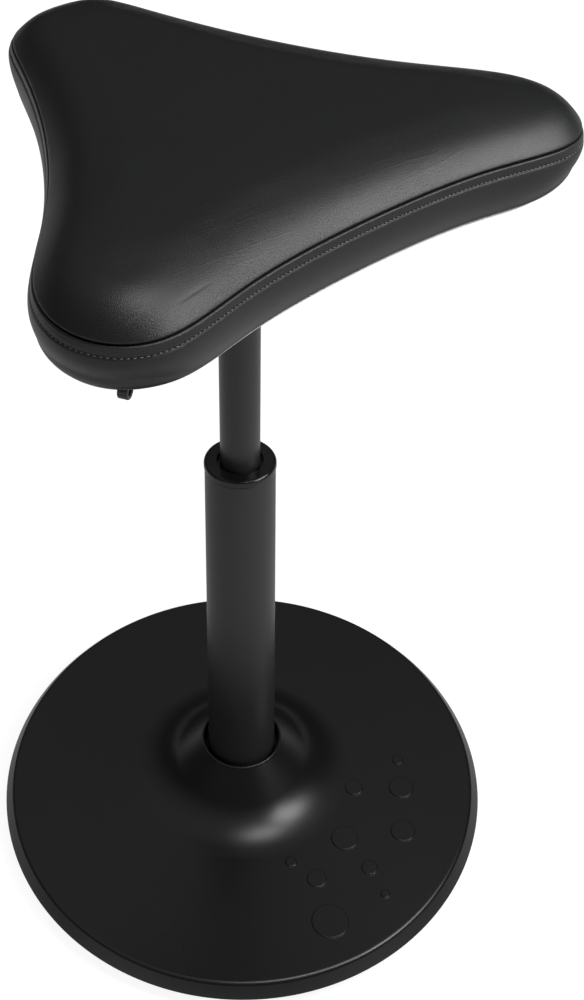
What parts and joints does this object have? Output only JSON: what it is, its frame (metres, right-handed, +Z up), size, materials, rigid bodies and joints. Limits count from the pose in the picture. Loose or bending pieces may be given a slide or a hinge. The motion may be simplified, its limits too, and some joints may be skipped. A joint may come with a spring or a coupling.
{
  "type": "perch stool",
  "caption": "Perch stool with a trefoil padded seat on a gas-spring column with a release lever, standing on a weighted round base whose curved sole lets it sway.",
  "frame": {"origin": "on the floor, on the column's axis, at the middle of the sole's flat underside", "axes": "+Z up along the column; the sitter faces -Y; the seat's rear, highest lobe points along +Y; the lobe with the release lever points to -150 degrees, at the sitter's right (-X)"},
  "size_m": [0.388, 0.3946, 0.6326],
  "materials": {
    "cover": "satin moulded plastic, black",
    "rubber": "dull black rubber",
    "iron": "dull grey",
    "coated_steel": "satin black coating",
    "collar": "glossy black plastic",
    "bright_steel": "zinc-plated",
    "brass": "plain",
    "plywood": "raw plywood",
    "foam": "moulded foam",
    "liner": "thin grey non-woven sheet",
    "leather": "grained synthetic leather, black"
  },
  "bodies": {
    "base": {"base_cover": "cover", "rubber_sole": "rubber", "ballast_plate": "iron", "cover_screw_1": "bright_steel", "cover_screw_2": "bright_steel", "cover_screw_3": "bright_steel", "cover_screw_4": "bright_steel", "hub_socket": "iron", "socket_screw_1": "bright_steel", "socket_screw_2": "bright_steel", "socket_screw_3": "bright_steel", "socket_screw_4": "bright_steel", "column_tube": "coated_steel", "guide_collar": "collar", "bearing_lower_washer": "bright_steel"},
    "spindle": {"bearing_ball_cage": "brass", "bearing_upper_washer": "bright_steel", "rubber_buffer": "rubber", "piston_rod": "bright_steel", "rod_clip": "bright_steel", "piston": "collar"},
    "seat": {"pressure_cylinder": "coated_steel", "rod_guide": "collar", "valve_body": "brass", "seat_bracket": "coated_steel", "lever_pin": "bright_steel", "seat_board": "plywood", "underside_liner": "liner", "seat_screw_1": "bright_steel", "seat_screw_2": "bright_steel", "seat_screw_3": "bright_steel", "seat_screw_4": "bright_steel", "tee_nut_1": "bright_steel", "tee_nut_2": "bright_steel", "tee_nut_3": "bright_steel", "tee_nut_4": "bright_steel", "cushion_foam": "foam", "side_panel": "leather", "top_panel": "leather"},
    "lever": {"release_lever": "coated_steel"},
    "valve": {"valve_pin": "bright_steel"}
  },
  "joints": [
    {"name": "seat_swivel", "type": "hinge", "parent": "base", "child": "spindle", "pos_m": [0, 0, 0], "axis": [0, 0, 1], "continuous": true},
    {"name": "seat_height", "type": "slide", "parent": "spindle", "child": "seat", "axis": [0, 0, 1], "range_m": [-0.17, 0]},
    {"name": "lever_lift", "type": "hinge", "parent": "seat", "child": "lever", "pos_m": [-0.02252, -0.013, 0.5555], "axis": [-0.5, 0.866, 0], "range_deg": [0, 5], "stiffness_Nm_per_rad": 0.8, "springref_deg": -5.73},
    {"name": "valve_press", "type": "slide", "parent": "seat", "child": "valve", "axis": [0, 0, -1], "range_m": [0, 0.0024]}
  ],
  "couplings": [
    {"joint": "valve_press", "follows": "lever_lift", "m_per_rad": 0.026}
  ]
}
